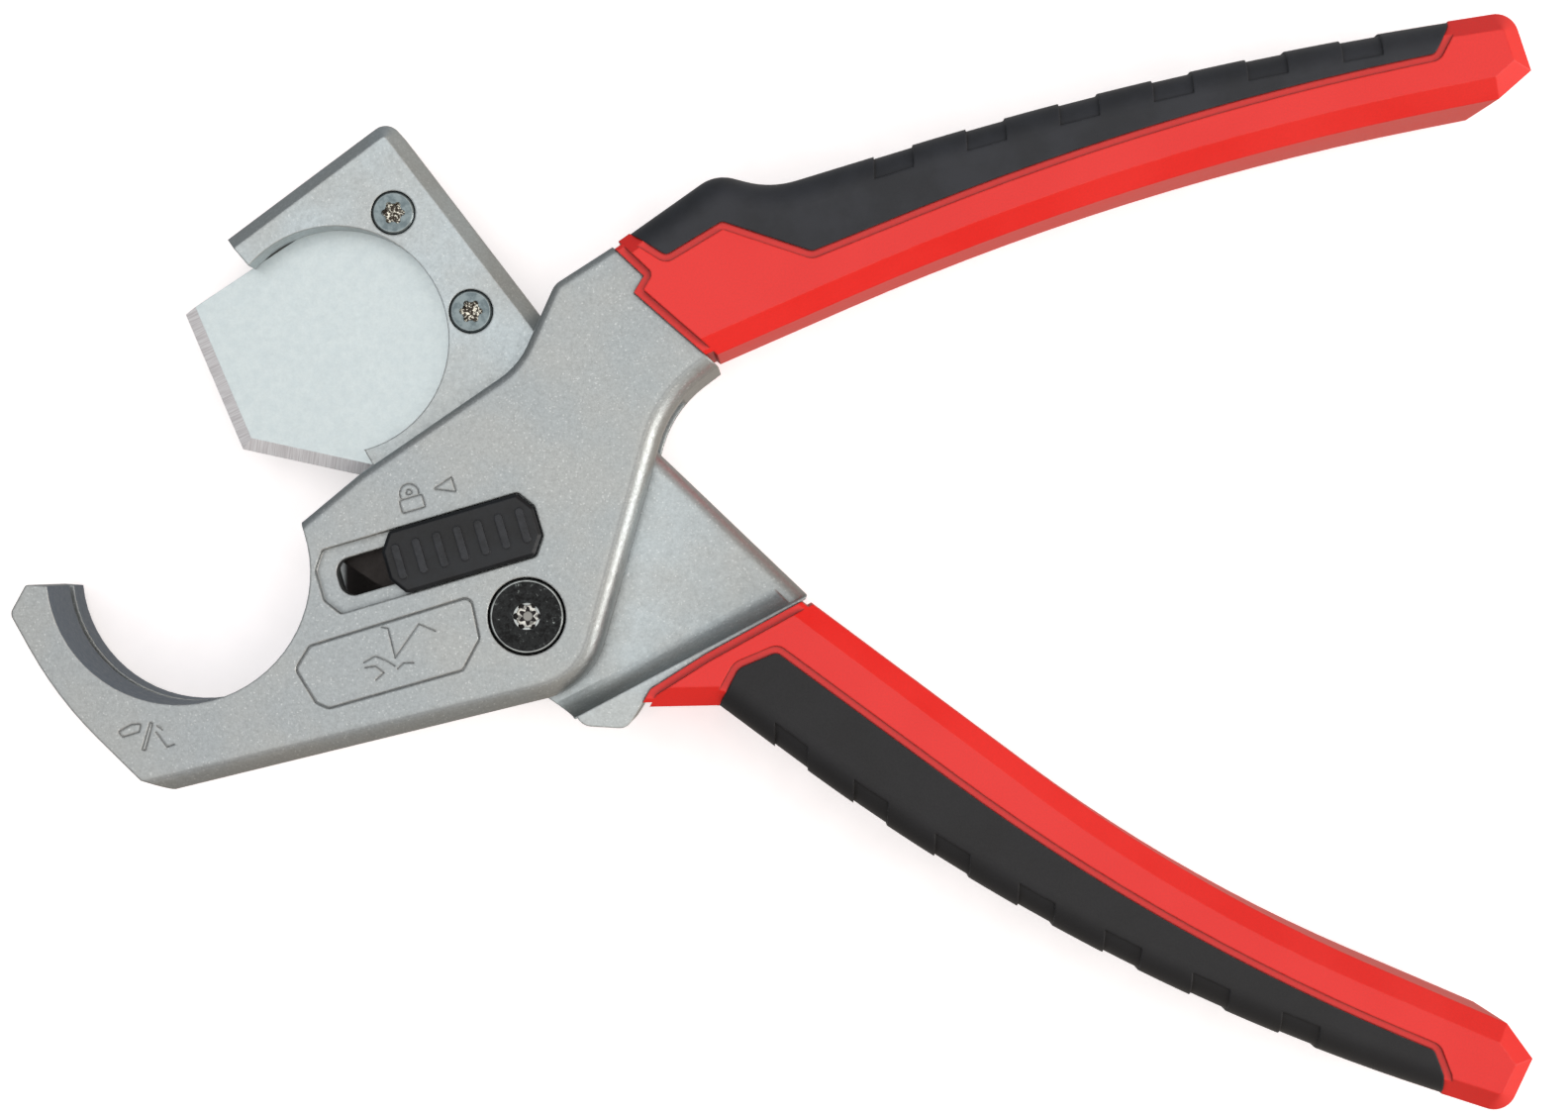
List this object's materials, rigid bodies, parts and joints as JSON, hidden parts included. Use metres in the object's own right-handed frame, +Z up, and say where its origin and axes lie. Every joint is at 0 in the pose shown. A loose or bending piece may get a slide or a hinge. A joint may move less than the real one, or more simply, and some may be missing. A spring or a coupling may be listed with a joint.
{
  "type": "plastic pipe cutter",
  "caption": "Plier-style cutter for plastic pipe with a hooked pipe seat, a pivoting blade arm, a sliding lock and two padded grips.",
  "frame": {"origin": "middle of the underside of the tool as it lies flat, on the plane it rests on", "axes": "+X from the hook towards the handle ends, +Y from the lower handle towards the upper one, +Z up through the tool's thickness"},
  "size_m": [0.2306, 0.1662, 0.024],
  "materials": {
    "cast_metal": "satin silver paint with fine metallic sparkle over die-cast alloy",
    "blade_steel": "bright fine-ground stainless sheet with a ground edge",
    "dark_steel": "black oxide steel, lightly polished rim",
    "zinc_steel": "zinc-plated steel",
    "spring_steel": "oiled spring steel",
    "bronze": "sintered bronze",
    "lock_plastic": "moulded black nylon",
    "grip_red": "fine-textured red moulded plastic",
    "grip_black": "soft matt charcoal rubber"
  },
  "bodies": {
    "frame": {"frame_casting": "cast_metal", "upper_grip_shell": "grip_red", "upper_grip_pad": "grip_black", "pivot_screw": "dark_steel", "pivot_sleeve_nut": "dark_steel", "front_washer": "zinc_steel", "rear_washer": "zinc_steel", "wave_washer": "spring_steel", "return_spring": "spring_steel", "detent_spring": "spring_steel"},
    "blade_arm": {"arm_casting": "cast_metal", "lower_grip_shell": "grip_red", "lower_grip_pad": "grip_black", "blade": "blade_steel", "blade_screws": "zinc_steel", "arm_bush": "bronze"},
    "lock_slider": {"lock_button": "lock_plastic", "lock_plate": "dark_steel", "lock_pin": "zinc_steel", "lock_rivets": "zinc_steel"}
  },
  "joints": [
    {"name": "arm_pivot", "type": "hinge", "parent": "frame", "child": "blade_arm", "pos_m": [-0.03726, -0.00828, 0.012], "axis": [0, 0, 1], "range_deg": [0, 47], "stiffness_Nm_per_rad": 0.4, "springref_deg": -20.05, "deforming": ["return_spring"]},
    {"name": "lock_slide", "type": "slide", "parent": "frame", "child": "lock_slider", "axis": [-0.9593, -0.2823, 0], "range_m": [0, 0.01], "deforming": ["detent_spring"]}
  ]
}
